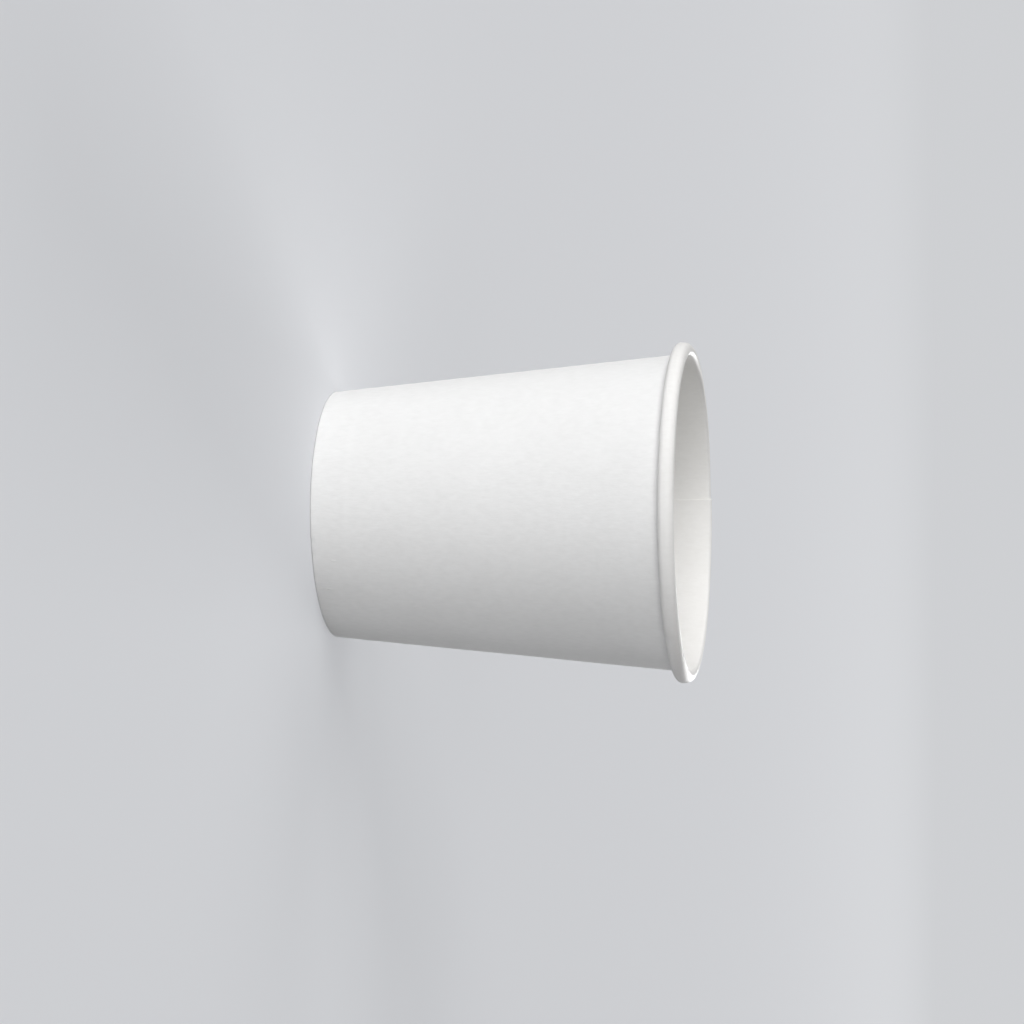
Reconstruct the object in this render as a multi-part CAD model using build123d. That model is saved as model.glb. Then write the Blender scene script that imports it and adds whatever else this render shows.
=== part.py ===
from build123d import *

import math
import os

# A paper cup made from two paperboard blanks. It stands on its base with the mouth up.
# Millimetres and degrees; the origin is on the cup's axis at the table, +Z is up.
# Azimuths are measured about +Z from +X.

# Overall sizes
cup_height = 66.3             # table to the top of the rolled rim
rim_diameter = 62.0           # outside of the rolled rim
base_diameter = 45.4          # where the line of the wall's outer face meets the table

# Boards and the clearance between the two pieces
wall_board = 0.30
bottom_board = 0.28
ply_clearance = 0.02          # on each face of the bottom's skirt

# Rolled rim: the wall's top edge is curled outwards, down, and up beside the wall
curl_height = 2.75
curl_overhang = 2.20          # wall's outer face to the rim's outside, at the curl's underside
curl_shoulder_radius = 0.75   # from the mouth's face onto the top
curl_crown_radius = 1.50      # from the top to the rim's outside
curl_foot_radius = 0.90       # from the rim's outside to the underside
curl_tuck_radius = 0.60       # from the underside up beside the wall
curl_tuck_height = 1.75       # underside to the sheet's upturned cut edge
curl_tuck_gap = 0.05          # upturned edge to the wall

# Folded bottom edge: the wall's lower edge is folded inwards and up inside the skirt
hem_height = 5.0              # table to the hem's cut edge
hem_crease_radius = 0.06      # inside each of the two creases

# Bottom: a round blank whose edge is turned down as a skirt
bottom_recess = 6.0           # table to the bottom's underside
bottom_bend_radius = 0.70     # outside of the bend between bottom and skirt
skirt_lift = 0.35             # inside of the fold to the skirt's cut edge

# Side seam: the sheet climbs a ramp and laps over its own first edge
seam_inner_edge = 185.0       # azimuth of the cut edge inside the cup
seam_overlap = 12.0           # from there to the cut edge outside
seam_ramp = 30.0
seam_step = 0.20              # how far the pressed lap stands proud
seam_foot = 0.10              # from the bottom crease to the lower end of the step

rim_radius = rim_diameter / 2
base_radius = base_diameter / 2
curl_underside = cup_height - curl_height
wall_slope = (rim_radius - curl_overhang - base_radius) / curl_underside
half_angle = math.degrees(math.atan(wall_slope))
board_across = 1 / math.cos(math.radians(half_angle))   # horizontal width of a unit of board


def outer_face(z):
    """Radius of the wall's outer face."""
    return base_radius + z * wall_slope


def inner_face(z):
    """Radius of the wall's inner face."""
    return outer_face(z) - wall_board * board_across


def skirt_face(z):
    """Radius of the skirt's inner face."""
    return inner_face(z) - (bottom_board + ply_clearance) * board_across


def hem_face(z):
    """Radius of the hem's outer face, which the skirt lies against."""
    return skirt_face(z) - ply_clearance * board_across


def sheet_section(corners, bend_radii, board):
    """Face of a bent sheet in the XZ plane.

    One skin runs through the corners, rounded by the bend radii; the board lies to its right.
    """
    skin = [Vector(*corner) for corner in corners]
    runs = [(end - start).normalized() for start, end in zip(skin, skin[1:])]
    sides = [Vector(run.Y, -run.X) for run in runs]
    back = [skin[0] + sides[0] * board]
    back_radii = []
    for corner, before, after, radius in zip(skin[1:], sides, sides[1:], bend_radii):
        middle = (before + after).normalized()
        back.append(corner + middle * (board / middle.dot(before)))
        turns_left = before.cross(after).Z > 0
        back_radii.append(radius + board if turns_left else radius - board)
    back.append(skin[-1] + sides[-1] * board)
    outline = [
        FilletPolyline(*skin, radius=list(bend_radii)),
        Line(skin[-1], back[-1]),
        FilletPolyline(*back, radius=back_radii),
        Line(back[0], skin[0]),
    ]
    return Plane.XZ * make_face(Curve() + outline)


def side_section():
    """Section of the side blank: hem, fold, wall and curl."""
    tuck_face = outer_face(curl_underside) + curl_tuck_gap
    tuck_top = curl_underside + curl_tuck_height
    corners = [
        (hem_face(hem_height), hem_height),
        (hem_face(wall_board), wall_board),
        (inner_face(wall_board), wall_board),
        (inner_face(cup_height), cup_height),
        (rim_radius, cup_height),
        (rim_radius, curl_underside),
        (tuck_face, curl_underside),
        (tuck_face + curl_tuck_height * wall_slope, tuck_top),
    ]
    bend_radii = [
        hem_crease_radius,
        hem_crease_radius,
        curl_shoulder_radius,
        curl_crown_radius,
        curl_foot_radius,
        curl_tuck_radius,
    ]
    return sheet_section(corners, bend_radii, wall_board)


def wall_strip(margin=0.0):
    """Section of the straight wall between the fold and the curl, widened by a margin."""
    low = wall_board + hem_crease_radius + seam_foot
    high = curl_underside
    outline = Polyline(
        (inner_face(low) - margin, low),
        (outer_face(low) + margin, low),
        (outer_face(high) + margin, high),
        (inner_face(high) - margin, high),
        close=True,
    )
    return Plane.XZ * make_face(outline)


def turned(section, first_azimuth, angle, shift=0.0, towards=0.0, offset=0.0):
    """Section moved out by a shift and turned about a vertical axis set off from the cup's."""
    ring = revolve(Pos(shift, 0, 0) * section, axis=Axis.Z, revolution_arc=angle)
    place = Pos(*Vector(offset, 0, 0).rotate(Axis.Z, towards))
    return place * Rot(0, 0, first_azimuth) * ring


def seam_ramp_up():
    """The wall where it climbs onto the lap, as two arcs that meet with no kink."""
    half = seam_ramp / 2
    far_end = seam_inner_edge + seam_ramp
    off_axis = seam_step / 2 / (1 - math.cos(math.radians(half)))
    leaving = turned(wall_strip(), far_end - half, half, off_axis, far_end, -off_axis)
    arriving = turned(
        wall_strip(), seam_inner_edge, half, seam_step - off_axis, seam_inner_edge, off_axis
    )
    return leaving + arriving


def side_wall():
    """The side blank, wrapped into a cone, with its seam lapped and both edges rolled."""
    blank = revolve(side_section(), axis=Axis.Z)
    clear_of_hem = bottom_board / 2
    ramp_place = turned(wall_strip(clear_of_hem), seam_inner_edge, seam_ramp)
    lap = turned(wall_strip(), seam_inner_edge - seam_overlap, seam_overlap, seam_step)
    return blank - ramp_place + seam_ramp_up() + lap


def bottom_disc():
    """The round bottom with its skirt turned down between the wall and the hem."""
    foot = wall_board + skirt_lift
    corners = [
        (skirt_face(foot), foot),
        (skirt_face(bottom_recess), bottom_recess),
        (0, bottom_recess),
    ]
    inside_bend = bottom_bend_radius - bottom_board
    return revolve(sheet_section(corners, [inside_bend], bottom_board), axis=Axis.Z)


os.makedirs("parts", exist_ok=True)
print(f"wall leans {half_angle:.2f} degrees; mouth {2 * inner_face(cup_height):.2f} across")
for name, piece in {"side_wall": side_wall(), "bottom_disc": bottom_disc()}.items():
    print(f"{name}: {len(piece.solids())} solid, {piece.volume:.1f} mm3, valid {piece.is_valid}")
    export_step(piece, f"parts/{name}.step")
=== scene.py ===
"""A small white paper cup: a wrapped, curled and hemmed side blank and a skirted bottom blank."""

import math

import bpy
from mathutils import Matrix, Vector


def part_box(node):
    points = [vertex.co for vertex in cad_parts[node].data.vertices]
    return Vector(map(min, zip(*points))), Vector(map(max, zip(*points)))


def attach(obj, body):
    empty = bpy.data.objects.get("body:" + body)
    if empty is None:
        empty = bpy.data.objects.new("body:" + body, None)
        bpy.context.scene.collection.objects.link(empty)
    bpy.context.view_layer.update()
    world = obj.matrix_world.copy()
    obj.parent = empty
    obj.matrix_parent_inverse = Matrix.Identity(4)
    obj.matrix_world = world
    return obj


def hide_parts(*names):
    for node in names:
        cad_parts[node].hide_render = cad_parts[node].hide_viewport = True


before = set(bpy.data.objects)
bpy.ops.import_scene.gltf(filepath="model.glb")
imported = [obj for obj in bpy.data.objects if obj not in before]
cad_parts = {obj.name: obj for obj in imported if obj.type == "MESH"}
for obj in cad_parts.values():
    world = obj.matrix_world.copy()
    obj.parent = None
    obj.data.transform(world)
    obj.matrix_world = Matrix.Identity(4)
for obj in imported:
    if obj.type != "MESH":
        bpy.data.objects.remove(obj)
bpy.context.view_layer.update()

MM = 0.001

# Sizes read from the frame
rim_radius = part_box("side_wall")[1].x
cup_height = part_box("side_wall")[1].z
bottom_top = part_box("bottom_disc")[1].z

# The boards, and how the wall, the curl and the hem are laid out
base_radius = 22.7 * MM
wall_board = 0.30 * MM
bottom_board = 0.28 * MM
ply_clearance = 0.02 * MM
curl_height = 2.75 * MM
curl_overhang = 2.20 * MM
curl_shoulder_radius = 0.75 * MM
curl_crown_radius = 1.50 * MM
curl_foot_radius = 0.90 * MM
curl_tuck_radius = 0.60 * MM
curl_tuck_height = 1.75 * MM
curl_tuck_gap = 0.05 * MM
hem_height = 5.0 * MM
hem_crease_radius = 0.06 * MM
bottom_bend_radius = 0.70 * MM
skirt_lift = 0.35 * MM
band_height = 6.3 * MM        # the wall's faint ridge over the bottom's bend
band_width = 0.8 * MM
dish_edge = 0.85              # where the bottom starts to sag, as a share of the base's radius

# Along the side blank: what its two creases and bends take up, and where its waves fade
hem_turn = 0.7 * MM
foot_turn = 0.4 * MM
hem_fade = 1.0 * MM
curl_fade = 1.5 * MM

# Unevenness: the lumps in a turn of the cup's radius, and each noise's own level
band_lumps, band_level = 4, 9.0
curl_lumps, curl_level = 3, 5.0
wall_lumps, wall_lump_height = 1.6, 16 * MM

# On the side blank, in mm: the hem's press marks, and how far up the blank the wall's foot is
flute_pitch = 1.2
wall_path = 4.7

# The side seam
seam_inner_edge = math.radians(185)
seam_overlap = math.radians(12)
seam_ramp = math.radians(30)
seam_step = 0.20 * MM

curl_underside = cup_height - curl_height
wall_slope = (rim_radius - curl_overhang - base_radius) / curl_underside
board_across = math.hypot(1, wall_slope)


# ---------------------------------------------------------------- nodes


class Number:
    """A number socket; Python's operators on it add Math nodes."""

    def __init__(self, net, socket):
        self.net = net
        self.socket = socket

    def __add__(self, other):
        return self.net.math("ADD", self, other)

    def __sub__(self, other):
        return self.net.math("SUBTRACT", self, other)

    def __rsub__(self, other):
        return self.net.math("SUBTRACT", other, self)

    def __mul__(self, other):
        return self.net.math("MULTIPLY", self, other)

    def __truediv__(self, other):
        return self.net.math("DIVIDE", self, other)

    def __gt__(self, other):
        return self.net.math("GREATER_THAN", self, other)

    def __lt__(self, other):
        return self.net.math("LESS_THAN", self, other)

    __radd__ = __add__
    __rmul__ = __mul__


class Net:
    """A node tree being built, for a shape or for a finish."""

    def __init__(self, tree):
        self.tree = tree

    def feed(self, socket, value):
        """Links a socket to another, or sets its value."""
        if isinstance(value, Number):
            value = value.socket
        if isinstance(value, bpy.types.NodeSocket):
            self.tree.links.new(value, socket)
        else:
            socket.default_value = value

    def node(self, kind, settings=None, values=None):
        """A new node: first its settings, then the values or links of its sockets."""
        made = self.tree.nodes.new(kind)
        for name, setting in (settings or {}).items():
            setattr(made, name, setting)
        for key, value in (values or {}).items():
            self.feed(made.inputs[key], value)
        return made

    def number(self, socket):
        return Number(self, socket)

    def math(self, operation, *values):
        """A Math node of up to three values."""
        made = self.node("ShaderNodeMath", {"operation": operation}, dict(enumerate(values)))
        return Number(self, made.outputs[0])

    def eased(self, value, start, end):
        """0 before the start, 1 after the end, and a smooth climb between them."""
        made = self.node(
            "ShaderNodeMapRange",
            {"interpolation_type": "SMOOTHSTEP"},
            {"Value": value, "From Min": start, "From Max": end},
        )
        return Number(self, made.outputs["Result"])

    def vector(self, x=0.0, y=0.0, z=0.0):
        """A vector of three numbers."""
        made = self.node("ShaderNodeCombineXYZ", None, {"X": x, "Y": y, "Z": z})
        return made.outputs[0]

    def parts(self, vector):
        """The three numbers of a vector."""
        made = self.node("ShaderNodeSeparateXYZ", None, {0: vector})
        return [Number(self, socket) for socket in made.outputs]

    def noise(self, place, detail=2.0, roughness=0.5):
        """Smooth noise about 0, within about a half either way, at a place counted in lumps."""
        values = {"Vector": place, "Scale": 1.0, "Detail": detail, "Roughness": roughness}
        made = self.node("ShaderNodeTexNoise", None, values)
        return Number(self, made.outputs[0]) - 0.5


# ---------------------------------------------------------------- shapes


def outer_face(z):
    """Radius of the wall's outer face."""
    return base_radius + z * wall_slope


def inner_face(z):
    """Radius of the wall's inner face."""
    return outer_face(z) - wall_board * board_across


def skirt_face(z):
    """Radius of the skirt's inner face."""
    return inner_face(z) - (bottom_board + ply_clearance) * board_across


def hem_face(z):
    """Radius of the hem's outer face, which the skirt lies against."""
    return skirt_face(z) - ply_clearance * board_across


def side_corners():
    """The side blank's inner face from the hem's edge to the curl's, as (r, z, bend, spacing)."""
    tuck_face = outer_face(curl_underside) + curl_tuck_gap
    tuck_top = curl_underside + curl_tuck_height
    band_top = band_height + 2.0 * MM
    fine, plain = 0.35 * MM, 1.3 * MM
    return [
        (hem_face(hem_height), hem_height, 0, plain),
        (hem_face(wall_board), wall_board, hem_crease_radius, fine),
        (inner_face(wall_board), wall_board, hem_crease_radius, fine),
        (inner_face(band_top), band_top, 0, plain),
        (inner_face(cup_height), cup_height, curl_shoulder_radius, fine),
        (rim_radius, cup_height, curl_crown_radius, fine),
        (rim_radius, curl_underside, curl_foot_radius, fine),
        (tuck_face, curl_underside, curl_tuck_radius, fine),
        (tuck_face + curl_tuck_height * wall_slope, tuck_top, 0, fine),
    ]


def bottom_corners():
    """The bottom blank's underside from the skirt's edge to the axis."""
    foot = wall_board + skirt_lift
    underside = bottom_top - bottom_board
    bend = bottom_bend_radius - bottom_board
    spacing = 1.0 * MM
    return [
        (skirt_face(foot), foot, 0, spacing),
        (skirt_face(underside), underside, bend, spacing),
        (0, underside, 0, spacing),
    ]


SHEET_SIZES = [
    "Board", "First Edge", "Overlap", "Ramp", "Relax", "Lap Lift", "Lap Squeeze",
    "Hem Lift", "Hem Squeeze", "Hem Length", "Band Height", "Band Swell", "Wall Wave",
    "Curl Start", "Curl Lift", "Curl Squeeze", "Curl Wave", "Wear", "Dish",
]
SHEET_COUNTS = ["Bend Points", "Steps Round"]
SHEET_FINISHES = ["Near Face", "Far Face", "Cut Edge"]


# Small dents and nicks of handling, as (azimuth in degrees, height, half width, half height,
# depth), lengths in mm
DENTS = [
    (41, 5.7, 2.6, 1.6, 0.06),
    (12, 0.1, 0.6, 0.5, 0.18),
    (19, 0.1, 0.8, 0.4, 0.14),
    (-35, 0.2, 1.5, 0.6, 0.08),
    (47, 63.9, 1.4, 0.7, 0.35),
    (54, 63.8, 0.9, 0.6, 0.20),
    (-128, 63.9, 2.5, 1.0, 0.12),
    (150, 30.0, 7.0, 11.0, 0.10),
]


def sheet_group():
    """Shape tree: corners are bent into a section, and a flat blank is wrapped along it."""
    tree = bpy.data.node_groups.new("wrapped_sheet", "GeometryNodeTree")
    sockets = [("Corners", "NodeSocketGeometry")]
    sockets += [(name, "NodeSocketFloat") for name in SHEET_SIZES]
    sockets += [(name, "NodeSocketInt") for name in SHEET_COUNTS]
    sockets += [(name, "NodeSocketMaterial") for name in SHEET_FINISHES]
    for name, kind in sockets:
        tree.interface.new_socket(name, in_out="INPUT", socket_type=kind)
    tree.interface.new_socket("Sheet", in_out="OUTPUT", socket_type="NodeSocketGeometry")
    net = Net(tree)
    given = net.node("NodeGroupInput").outputs
    size = {name: net.number(given[name]) for name in SHEET_SIZES + SHEET_COUNTS}

    section = bent_section(net, given["Corners"], given["Bend Points"])
    columns = net.number(
        net.node("GeometryNodeAttributeDomainSize", {"component": "CURVE"}, {0: section})
        .outputs["Point Count"]
    )
    slab = flat_blank(net, columns, size["Steps Round"], size["Overlap"])

    x, y, depth = net.parts(net.node("GeometryNodeInputPosition").outputs[0])
    column = net.math("ROUND", x + (columns - 1) / 2)
    turn = (y / size["Steps Round"] + 0.5) * (size["Overlap"] + 2 * math.pi)
    point = sampled(net, section, column, net.node("GeometryNodeInputPosition").outputs[0])
    along = sampled(net, section, column, net.node("GeometryNodeInputTangent").outputs[0])
    length = net.number(
        sampled(net, section, column, net.node("GeometryNodeSplineParameter").outputs["Length"])
    )
    radius, height = laid(net, size, turn, length, depth, point, along)
    azimuth = size["First Edge"] - turn
    place = net.vector(
        radius * net.math("COSINE", azimuth), radius * net.math("SINE", azimuth), height
    )
    board_map = net.vector(turn * base_radius, length)
    marked = store(net, slab, "FLOAT", "FACE", "face_depth", depth)
    marked = store(net, marked, "FLOAT2", "CORNER", "board", board_map)
    wrapped = net.node("GeometryNodeSetPosition", None, {"Geometry": marked, "Position": place})
    weld = 0.001 * MM
    closed = net.node(
        "GeometryNodeMergeByDistance", None, {"Geometry": wrapped.outputs[0], "Distance": weld}
    )
    finish_sheet(net, closed.outputs[0], given)
    return tree


def bent_section(net, corners, bend_points):
    """The corners' line with its bends rounded, and points added along its runs."""
    bend = net.node("GeometryNodeInputNamedAttribute", {"data_type": "FLOAT"}, {"Name": "bend"})
    line = net.node("GeometryNodeMeshToCurve", None, {"Mesh": corners})
    rounded = net.node(
        "GeometryNodeFilletCurve",
        {"mode": "POLY"},
        {"Curve": line.outputs[0], "Count": bend_points, "Radius": bend.outputs[0]},
    )
    spacing = net.node(
        "GeometryNodeInputNamedAttribute", {"data_type": "FLOAT"}, {"Name": "spacing"}
    )
    here = net.node("GeometryNodeInputPosition").outputs[0]
    after = net.number(net.node("GeometryNodeInputIndex").outputs[0]) + 1
    there = net.node(
        "GeometryNodeFieldAtIndex",
        {"data_type": "FLOAT_VECTOR", "domain": "POINT"},
        {"Value": here, "Index": after},
    )
    run = net.node(
        "ShaderNodeVectorMath", {"operation": "DISTANCE"}, {0: here, 1: there.outputs[0]}
    )
    cuts = net.math("FLOOR", net.number(run.outputs["Value"]) / net.number(spacing.outputs[0]))
    divided = net.node(
        "GeometryNodeSubdivideCurve", None, {"Curve": rounded.outputs[0], "Cuts": cuts}
    )
    return divided.outputs[0]


def flat_blank(net, columns, steps, overlap):
    """A closed slab one unit thick, with a unit square for each column and step.

    Without an overlap its two ends are left open, because they meet and join.
    """
    weld, end_margin, no_overlap = 0.01, 0.1, 1e-4
    grid = net.node(
        "GeometryNodeMeshGrid",
        None,
        {"Size X": columns - 1, "Size Y": steps, "Vertices X": columns, "Vertices Y": steps + 1},
    ).outputs["Mesh"]
    raised = net.node(
        "GeometryNodeExtrudeMesh",
        {"mode": "FACES"},
        {"Mesh": grid, "Offset": net.vector(z=1.0), "Individual": False},
    )
    under = net.node("GeometryNodeFlipFaces", None, {"Mesh": grid})
    both = net.node("GeometryNodeJoinGeometry")
    for part in (raised, under):
        net.feed(both.inputs[0], part.outputs[0])
    joined = net.node(
        "GeometryNodeMergeByDistance", None, {"Geometry": both.outputs[0], "Distance": weld}
    )
    middle = net.node("GeometryNodeInputPosition").outputs[0]
    at_end = net.math("ABSOLUTE", net.parts(middle)[1]) > steps / 2 - end_margin
    opened = net.node(
        "GeometryNodeDeleteGeometry",
        {"domain": "FACE"},
        {"Geometry": joined.outputs[0], "Selection": at_end * (overlap < no_overlap)},
    )
    return opened.outputs[0]


def sampled(net, section, column, value):
    """A value of the section's point with that number."""
    kind = "FLOAT_VECTOR" if value.type == "VECTOR" else "FLOAT"
    made = net.node(
        "GeometryNodeSampleIndex",
        {"data_type": kind, "domain": "POINT", "clamp": True},
        {"Geometry": section, "Value": value, "Index": column},
    )
    return made.outputs[0]


def laid(net, size, turn, length, depth, point, along):
    """Radius and height of a point of the blank, with the seam's lap and the board's waves."""
    r, _, z = net.parts(point)
    along_r, _, along_z = net.parts(along)
    in_hem = 1 - net.eased(length, size["Hem Length"], size["Hem Length"] + hem_fade)
    in_curl = net.eased(length, size["Curl Start"], size["Curl Start"] + curl_fade)
    rise = net.eased(turn, 2 * math.pi - size["Ramp"], 2 * math.pi)
    under = 1 - net.eased(turn, size["Overlap"], size["Overlap"] + size["Relax"])
    lift, squeeze = (
        size["Lap " + name]
        + in_hem * (size["Hem " + name] - size["Lap " + name])
        + in_curl * (size["Curl " + name] - size["Lap " + name])
        for name in ("Lift", "Squeeze")
    )
    pressed = net.math("MAXIMUM", rise, under) * squeeze
    across = rise * lift + depth * (size["Board"] - pressed)

    cosine, sine = net.math("COSINE", turn), net.math("SINE", turn)

    def ring(lumps, level):
        return net.vector(cosine * lumps, sine * lumps, level)

    off_band = (z - size["Band Height"]) / band_width
    unevenness = net.noise(ring(band_lumps, band_level)) + 0.7
    swell = size["Band Swell"] * net.math("EXPONENT", off_band * off_band * -1) * unevenness
    wave = net.noise(ring(wall_lumps, z / wall_lump_height), 1.0) * size["Wall Wave"]
    ripple = net.math("ABSOLUTE", net.noise(ring(curl_lumps, curl_level)))
    droop = ripple * in_curl * size["Curl Wave"]
    radius = r + along_z * across + (swell + wave) * (1 - in_hem) * (1 - in_curl) - droop
    for azimuth, level, wide, high, deep in DENTS:
        beside = (size["First Edge"] - turn - math.radians(azimuth)) * r / (wide * MM)
        above = (z - level * MM) / (high * MM)
        dent = net.math("EXPONENT", (beside * beside + above * above) * -1)
        radius = radius - dent * size["Wear"] * (deep * MM)
    hollow = net.eased(r / base_radius, dish_edge, 0) * size["Dish"]
    height = z - along_r * across - droop - hollow
    return radius, height


def store(net, geometry, kind, domain, name, value):
    """The geometry with a named attribute."""
    made = net.node(
        "GeometryNodeStoreNamedAttribute",
        {"data_type": kind, "domain": domain},
        {"Geometry": geometry, "Name": name, "Value": value},
    )
    return made.outputs[0]


def finish_sheet(net, geometry, given):
    """Smooth faces, sharp cut edges and one finish for each face of the board."""
    crease, near_depth, far_depth = math.radians(50), 0.25, 0.75
    angle = net.number(net.node("GeometryNodeInputMeshEdgeAngle").outputs["Unsigned Angle"])
    smooth = net.node(
        "GeometryNodeSetShadeSmooth",
        {"domain": "FACE"},
        {"Geometry": geometry, "Shade Smooth": True},
    )
    edged = net.node(
        "GeometryNodeSetShadeSmooth",
        {"domain": "EDGE"},
        {
            "Geometry": smooth.outputs[0],
            "Selection": angle > crease,
            "Shade Smooth": False,
        },
    )
    shown = net.node("GeometryNodeRealizeInstances", None, {0: edged.outputs[0]}).outputs[0]
    side = net.number(
        net.node(
            "GeometryNodeInputNamedAttribute", {"data_type": "FLOAT"}, {"Name": "face_depth"}
        ).outputs[0]
    )
    chosen = {"Cut Edge": True, "Near Face": side < near_depth, "Far Face": side > far_depth}
    for finish, selection in chosen.items():
        shown = net.node(
            "GeometryNodeSetMaterial",
            None,
            {"Geometry": shown, "Selection": selection, "Material": given[finish]},
        ).outputs[0]
    net.node("NodeGroupOutput", None, {0: shown})


def sheet_piece(name, tree, corners, inputs):
    """A finished mesh of one blank, made by the shape tree from its corners."""
    mesh = bpy.data.meshes.new(name + "_corners")
    places = [(r, 0, z) for r, z, _, _ in corners]
    runs = [(start, start + 1) for start in range(len(corners) - 1)]
    mesh.from_pydata(places, runs, [])
    for which, attribute in ((2, "bend"), (3, "spacing")):
        values = mesh.attributes.new(attribute, "FLOAT", "POINT")
        values.data.foreach_set("value", [corner[which] for corner in corners])
    maker = bpy.data.objects.new(name + "_corners", mesh)
    bpy.context.scene.collection.objects.link(maker)
    modifier = maker.modifiers.new("sheet", "NODES")
    modifier.node_group = tree
    for item in tree.interface.items_tree:
        if item.name in inputs:
            modifier[item.identifier] = inputs[item.name]
    graph = bpy.context.evaluated_depsgraph_get()
    made = bpy.data.meshes.new_from_object(
        maker.evaluated_get(graph), preserve_all_data_layers=True, depsgraph=graph
    )
    bpy.data.objects.remove(maker)
    made.name = name
    piece = bpy.data.objects.new(name, made)
    bpy.context.scene.collection.objects.link(piece)
    return piece


# ---------------------------------------------------------------- finishes

# Grain of the board: fibre streaks, soft lumps between them and broad clouds, each as (width
# across, length along, own level, detail, roughness of the noise), lengths in mm
GRAIN = [
    (0.30, 1.7, 0.0, 3.0, 0.65),
    (0.9, 2.0, 3.0, 2.0, 0.5),
    (7.0, 11.0, 7.0, 2.0, 0.5),
]

# Raised scratches along the wall, as (azimuth in degrees, start and end height, half width,
# lean, strength), lengths in mm
SCRATCHES = [
    (36, 0.5, 1.6, 0.10, 0.10, 1.0),
    (35.7, 1.8, 3.5, 0.12, -0.06, 1.0),
    (21, 3.4, 4.7, 0.09, 0.05, 0.6),
    (207, 20.0, 24.0, 0.10, 0.08, 0.6),
]

# How much the grain and the marks show in the board's tone, relief and roughness
# The scratches' lighter tone is a painted highlight, standing for the light on their raised
# ridges
streak_tone, lump_tone, cloud_tone, scratch_highlight = 0.9, 0.7, 0.5, 1.2
lump_relief, scratch_relief, flute_relief = 1.2, 5.0, 12.0
streak_roughness, lump_roughness = 0.12, 0.06

# The cut edge's fibres and colours, and the floor's own colour and the tone that lifts it
fibre_width, fibre_height, fibre_relief = 0.12 * MM, 0.3 * MM, 0.02 * MM
cut_shade, cut_pale = (0.74, 0.73, 0.70), (0.88, 0.87, 0.84)
floor_colour, floor_glow = (0.52, 0.525, 0.54), (0.27, 0.275, 0.285)
floor_fade_start, floor_fade_end = 0.5, 2.4


def new_finish(name):
    """A material with an empty tree, as a net and its output's surface."""
    material = bpy.data.materials.new(name)
    material.use_nodes = True
    material.node_tree.nodes.clear()
    net = Net(material.node_tree)
    output = net.node("ShaderNodeOutputMaterial")
    return material, net, output.inputs["Surface"]


def mixed(net, factor, first, second):
    """A colour between two colours."""
    made = net.node(
        "ShaderNodeMix",
        {"data_type": "RGBA"},
        {"Factor": factor, "A": (*first, 1), "B": (*second, 1)},
    )
    return made.outputs["Result"]


def grain(net, across, along):
    """The board's streaks, lumps and clouds, each within about a half either way."""
    return [
        net.noise(net.vector(across / width, along / length, level), detail, roughness)
        for width, length, level, detail, roughness in GRAIN
    ]


def scratch(net, across, along, azimuth, start, end, width, lean):
    """How much a raised scratch along the wall shows, from 0 to 1."""
    fade, shake_length, shake_width = 0.5, 0.5, 0.2
    middle = (seam_inner_edge - math.radians(azimuth)) * base_radius / MM
    begin, finish = start + wall_path, end + wall_path
    shake = net.noise(net.vector(along / shake_length, azimuth)) * shake_width
    beside = (across - middle - (along - begin) * lean + shake) / width
    ends = net.eased(along, begin, begin + fade) * (1 - net.eased(along, finish - fade, finish))
    return net.math("EXPONENT", beside * beside * -1) * ends


def flutes(net, across, along):
    """The upright press marks in the hem's face, within about a half either way."""
    ridge = net.math("SINE", across * (2 * math.pi / flute_pitch)) * 0.5
    low, high, fade = 0.7, hem_height / MM - 1.0, 0.3
    inside = net.eased(along, low, low + fade) * (1 - net.eased(along, high - fade, high))
    return ridge * inside


def paper_finish(name, pale, shade, roughness, bump, worked=False, flat=False):
    """White board whose fibres lie along the cup's axis, or across it on the flat bottom.

    A worked finish also shows the marks of making and handling; its scratches' lighter tone is a
    painted highlight.
    """
    material, net, surface = new_finish(name)
    if flat:
        where = net.node("ShaderNodeTexCoord").outputs["Object"]
    else:
        where = net.node("ShaderNodeUVMap", {"uv_map": "board"}).outputs[0]
    u, v, _ = net.parts(where)
    across, along = u / MM, v / MM
    streaks, lumps, clouds = grain(net, across, along)
    tone = streaks * streak_tone + lumps * lump_tone + clouds * cloud_tone + 0.5
    height = streaks + lumps * lump_relief
    if worked:
        for *mark, strength in SCRATCHES:
            raised = scratch(net, across, along, *mark) * strength
            # Painted highlight: each scratch is lightened where its raised ridge would catch the
            # light
            tone = tone + raised * scratch_highlight
            height = height + raised * scratch_relief
        height = height + flutes(net, across, along) * flute_relief
    relief = net.node(
        "ShaderNodeBump", None, {"Strength": 1.0, "Distance": bump, "Height": height}
    )
    shader = net.node(
        "ShaderNodeBsdfPrincipled",
        None,
        {
            "Base Color": mixed(net, tone, shade, pale),
            "Roughness": roughness + streaks * streak_roughness + lumps * lump_roughness,
            "Normal": relief.outputs[0],
            "Specular IOR Level": 0.35,
        },
    )
    net.feed(surface, shader.outputs[0])
    return material


def edge_finish():
    """The board's cut edge: open fibres, a little darker and rougher than its faces."""
    material, net, surface = new_finish("cut_board")
    x, y, z = net.parts(net.node("ShaderNodeTexCoord").outputs["Object"])
    place = net.vector(x / fibre_width, y / fibre_width, z / fibre_height)
    fibres = net.noise(place, 3.0, 0.6)
    relief = net.node(
        "ShaderNodeBump", None, {"Strength": 1.0, "Distance": fibre_relief, "Height": fibres}
    )
    shader = net.node(
        "ShaderNodeBsdfPrincipled",
        None,
        {
            "Base Color": mixed(net, fibres + 0.5, cut_shade, cut_pale),
            "Roughness": fibres * 0.1 + 0.92,
            "Normal": relief.outputs[0],
            "Specular IOR Level": 0.2,
        },
    )
    net.feed(surface, shader.outputs[0])
    return material


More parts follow.
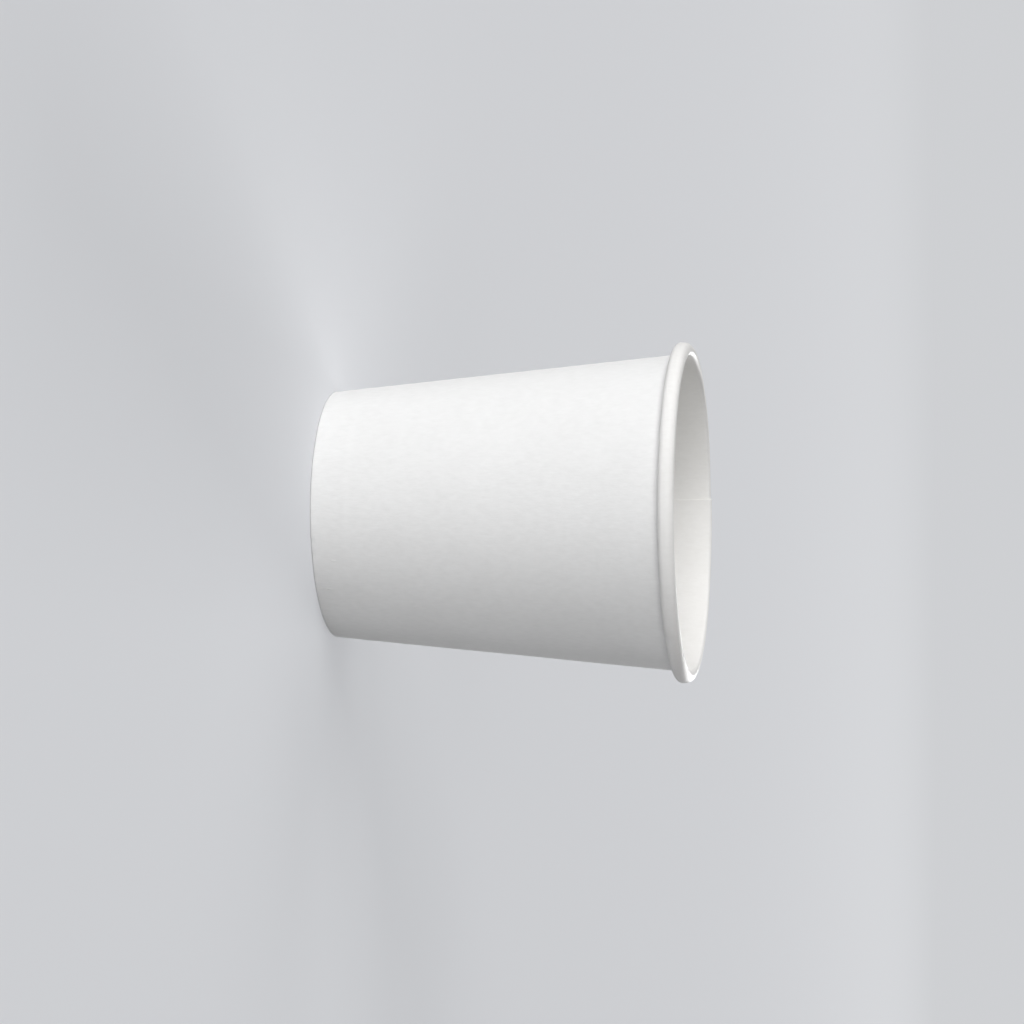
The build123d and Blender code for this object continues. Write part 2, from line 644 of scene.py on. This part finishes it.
def floor_finish():
    """Plain pale matt floor that passes into the backdrop's tone in the distance."""
    material, net, surface = new_finish("floor")
    seen = net.number(net.node("ShaderNodeLightPath").outputs["Is Camera Ray"])
    near = net.node(
        "ShaderNodeBsdfPrincipled",
        None,
        {
            "Base Color": (*floor_colour, 1),
            "Roughness": 0.9,
            "Specular IOR Level": 0.0,
            "Emission Color": mixed(net, seen, (0, 0, 0), floor_glow),
            "Emission Strength": 1.0,
        },
    )
    far = net.node(
        "ShaderNodeEmission", None, {"Color": (*backdrop_tone, 1), "Strength": backdrop_level}
    )
    x, y, _ = net.parts(net.node("ShaderNodeTexCoord").outputs["Object"])
    away = net.math("SQRT", x * x + y * y)
    distant = net.eased(away, floor_fade_start, floor_fade_end)
    blend = net.node(
        "ShaderNodeMixShader", None, {0: distant * seen, 1: near.outputs[0], 2: far.outputs[0]}
    )
    net.feed(surface, blend.outputs[0])
    return material


# ---------------------------------------------------------------- the cup


def build_cup():
    """Both blanks, in place of the nodes that they stand for."""
    plain = ((0.935, 0.934, 0.926), (0.845, 0.843, 0.834), 0.85, 0.02 * MM)
    filmed = ((0.922, 0.914, 0.896), (0.852, 0.841, 0.819), 0.5, 0.006 * MM)
    outside = paper_finish("plain_board", *plain, worked=True)
    inside = paper_finish("filmed_board", *filmed)
    bottom_below = paper_finish("plain_bottom_board", *plain, flat=True)
    bottom_above = paper_finish("filmed_bottom_board", *filmed, flat=True)
    edge = edge_finish()
    tree = sheet_group()
    hem_length = hem_height + hem_turn
    wall_end = hem_height + foot_turn + cup_height * board_across - curl_shoulder_radius
    glue = 0.005 * MM
    lap_board = (wall_board + seam_step) / 2
    curl_ply = 0.10 * MM
    side = sheet_piece("side_blank", tree, side_corners(), {
        "Board": wall_board,
        "First Edge": seam_inner_edge,
        "Overlap": seam_overlap,
        "Ramp": seam_ramp,
        "Relax": math.radians(2),
        "Lap Lift": lap_board + glue,
        "Lap Squeeze": wall_board - lap_board,
        "Hem Lift": wall_board / 2,
        "Hem Squeeze": wall_board / 2,
        "Hem Length": hem_length,
        "Band Height": band_height,
        "Band Swell": 0.045 * MM,
        "Wall Wave": 0.10 * MM,
        "Curl Start": wall_end,
        "Curl Lift": curl_ply + glue,
        "Curl Squeeze": wall_board - curl_ply,
        "Curl Wave": 0.15 * MM,
        "Wear": 1.0,
        "Bend Points": 8,
        "Steps Round": 372,
        "Near Face": inside,
        "Far Face": outside,
        "Cut Edge": edge,
    })
    bottom = sheet_piece("bottom_blank", tree, bottom_corners(), {
        "Board": bottom_board,
        "Bend Points": 8,
        "Steps Round": 240,
        "Relax": math.radians(1),
        "Ramp": math.radians(1),
        "Dish": 0.25 * MM,
        "Near Face": bottom_below,
        "Far Face": bottom_above,
        "Cut Edge": edge,
    })
    for piece, node, slot in (
        (side, "side_wall", "cup_board"),
        (bottom, "bottom_disc", "bottom_board"),
    ):
        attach(piece, "root")
        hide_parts(node)


# ---------------------------------------------------------------- floor, light and camera

lamp_distance = 3.5
lamp_width = 2.5
warm = (1, 0.985, 0.95)
backdrop_tone = (0.985, 1.0, 1.03)
backdrop_level = 0.63
surround_level = 0.14         # how strongly the surround lights the cup

# The eye, in degrees and metres from what it looks at
eye_azimuth, eye_elevation, eye_distance, eye_roll = 0.0267, 9.80, 622.4 * MM, 89.73
eye_aim = (0, -0.29 * MM, 32.76 * MM)


def build_floor():
    """A wide flat floor that the cup stands on."""
    reach = 12.0
    corners = [(-reach, -reach, 0), (reach, -reach, 0), (reach, reach, 0), (-reach, reach, 0)]
    mesh = bpy.data.meshes.new("floor")
    mesh.from_pydata(corners, [], [(0, 1, 2, 3)])
    mesh.materials.append(floor_finish())
    floor = bpy.data.objects.new("floor", mesh)
    bpy.context.scene.collection.objects.link(floor)


def aimed(item, eye, aim, roll=0.0):
    """Places a lamp or camera at the eye, looking at the aim, turned about its view line."""
    look = (aim - eye).to_track_quat("-Z", "Y").to_matrix()
    turned = look @ Matrix.Rotation(roll, 3, "Z")
    item.matrix_world = Matrix.Translation(eye) @ turned.to_4x4()


def around(azimuth, elevation, distance, centre):
    """The point at that direction and distance from a centre, in degrees and metres."""
    level = math.cos(math.radians(elevation)) * distance
    return centre + Vector((
        level * math.cos(math.radians(azimuth)),
        level * math.sin(math.radians(azimuth)),
        math.sin(math.radians(elevation)) * distance,
    ))


def soft_lamp(name, azimuth, elevation, side, power, colour=(1, 1, 1)):
    """A square soft box aimed at the cup, itself out of sight."""
    lamp = bpy.data.lights.new(name, "AREA")
    lamp.shape = "SQUARE"
    lamp.size = side
    lamp.energy = power
    lamp.color = colour
    item = bpy.data.objects.new(name, lamp)
    bpy.context.scene.collection.objects.link(item)
    middle = Vector((0, 0, cup_height / 2))
    aimed(item, around(azimuth, elevation, lamp_distance, middle), middle)
    item.visible_camera = False


def build_light():
    """Soft boxes low on the cup's lit side, weaker ones behind it and a dim even surround.

    The floor cuts off the feet of the lowest boxes.
    """
    soft_lamp("side_key", -60, 13, lamp_width, 78.0)
    soft_lamp("corner_key", -30, 13, lamp_width, 34.0)
    soft_lamp("front", 5, 14, lamp_width, 35.5)
    soft_lamp("back_side", -120, 20, lamp_width, 14.0)
    soft_lamp("back_side_high", -120, 55, lamp_width, 16.5)
    soft_lamp("far_side", 90, 20, lamp_width, 8.0, warm)
    soft_lamp("back", 165, 14, lamp_width / 2, 60.0)
    world = bpy.data.worlds.new("surround")
    world.use_nodes = True
    net = Net(world.node_tree)
    background = world.node_tree.nodes["Background"]
    net.feed(background.inputs["Color"], (*backdrop_tone, 1))
    seen = net.number(net.node("ShaderNodeLightPath").outputs["Is Camera Ray"])
    shown = seen * (backdrop_level - surround_level) + surround_level
    net.feed(background.inputs["Strength"], shown)
    bpy.context.scene.world = world


def build_camera():
    """A long lens level with the cup's middle, a little above its side, turned onto its side."""
    lens = bpy.data.cameras.new("camera")
    lens.lens = 119.15
    lens.sensor_width = 36
    lens.clip_end = 50
    item = bpy.data.objects.new("camera", lens)
    bpy.context.scene.collection.objects.link(item)
    aim = Vector(eye_aim)
    eye = around(eye_azimuth, eye_elevation, eye_distance, aim)
    aimed(item, eye, aim, math.radians(eye_roll))
    bpy.context.scene.camera = item


build_cup()
build_floor()
build_light()
build_camera()
bpy.context.scene.view_settings.view_transform = "Standard"
